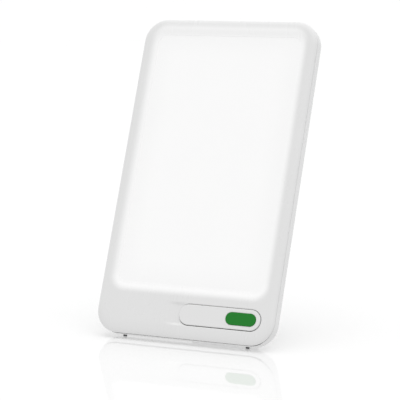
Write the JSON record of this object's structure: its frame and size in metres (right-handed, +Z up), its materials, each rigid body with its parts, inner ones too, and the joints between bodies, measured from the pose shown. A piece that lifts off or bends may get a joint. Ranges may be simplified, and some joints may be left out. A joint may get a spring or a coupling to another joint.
{
  "type": "light therapy lamp",
  "caption": "Slim upright light therapy lamp: a framed opal light panel with a press key, leaning back on rubber feet and a fold-out rear leg.",
  "frame": {"origin": "on the floor, under the middle of the lamp's width and depth, with the lamp standing on its feet and its opened leg", "axes": "+Z up, the light panel faces -Y and leans back towards +Y, +X to the right of someone who looks at the panel"},
  "size_m": [0.18, 0.1346, 0.2941],
  "materials": {
    "frame_white": "smooth satin gloss, moulded",
    "cover_white": "smooth satin, moulded",
    "key_white": "smooth satin, moulded",
    "leg_white": "fine satin, moulded",
    "opal_diffuser": "opal, matte",
    "clear_acrylic": "polished clear",
    "white_film": "matte film",
    "tray_metal": "rolled sheet",
    "strip_board": "white solder mask",
    "circuit_board": "green solder mask",
    "key_green": "satin gloss, coloured through",
    "plunger_plastic": "natural nylon",
    "black_plastic": "matte",
    "steel": "zinc plated",
    "rubber": "matte",
    "lead_sheath": "soft vinyl"
  },
  "bodies": {
    "housing": {"front_frame": "frame_white", "rear_cover": "cover_white", "diffuser_panel": "opal_diffuser", "light_guide_plate": "clear_acrylic", "reflector_sheet": "white_film", "light_tray": "tray_metal", "led_strip_left": "strip_board", "led_strip_right": "strip_board", "control_board": "circuit_board", "push_switch_body": "black_plastic", "dc_jack": "black_plastic", "led_lead_left": "lead_sheath", "led_lead_right": "lead_sheath", "key_pivot_pin": "steel", "cover_screw_1": "steel", "cover_screw_2": "steel", "cover_screw_3": "steel", "cover_screw_4": "steel", "cover_screw_5": "steel", "cover_screw_6": "steel", "board_screw_1": "steel", "board_screw_2": "steel", "board_screw_3": "steel", "stand_hinge_pin": "steel", "friction_washer_left": "steel", "friction_washer_right": "steel", "foot_left": "rubber", "foot_right": "rubber"},
    "key": {"power_key": "key_white", "key_lens": "key_green"},
    "plunger": {"switch_plunger": "plunger_plastic"},
    "leg": {"stand_leg": "leg_white", "stand_pad_left": "rubber", "stand_pad_right": "rubber"}
  },
  "joints": [
    {"name": "key_press", "type": "hinge", "parent": "housing", "child": "key", "pos_m": [0.0005, -0.05608, 0.02567], "axis": [0, 0.3827, 0.9239], "range_deg": [0, 1.6], "stiffness_Nm_per_rad": 2, "springref_deg": -1.15},
    {"name": "plunger_slide", "type": "slide", "parent": "housing", "child": "plunger", "axis": [0, 0.9239, -0.3827], "range_m": [0, 0.00165]},
    {"name": "leg_fold", "type": "hinge", "parent": "housing", "child": "leg", "pos_m": [0, 0.00843, 0.14561], "axis": [-1, 0, 0], "range_deg": [0, 35]}
  ],
  "couplings": [
    {"joint": "plunger_slide", "follows": "key_press", "m_per_rad": 0.05735}
  ]
}
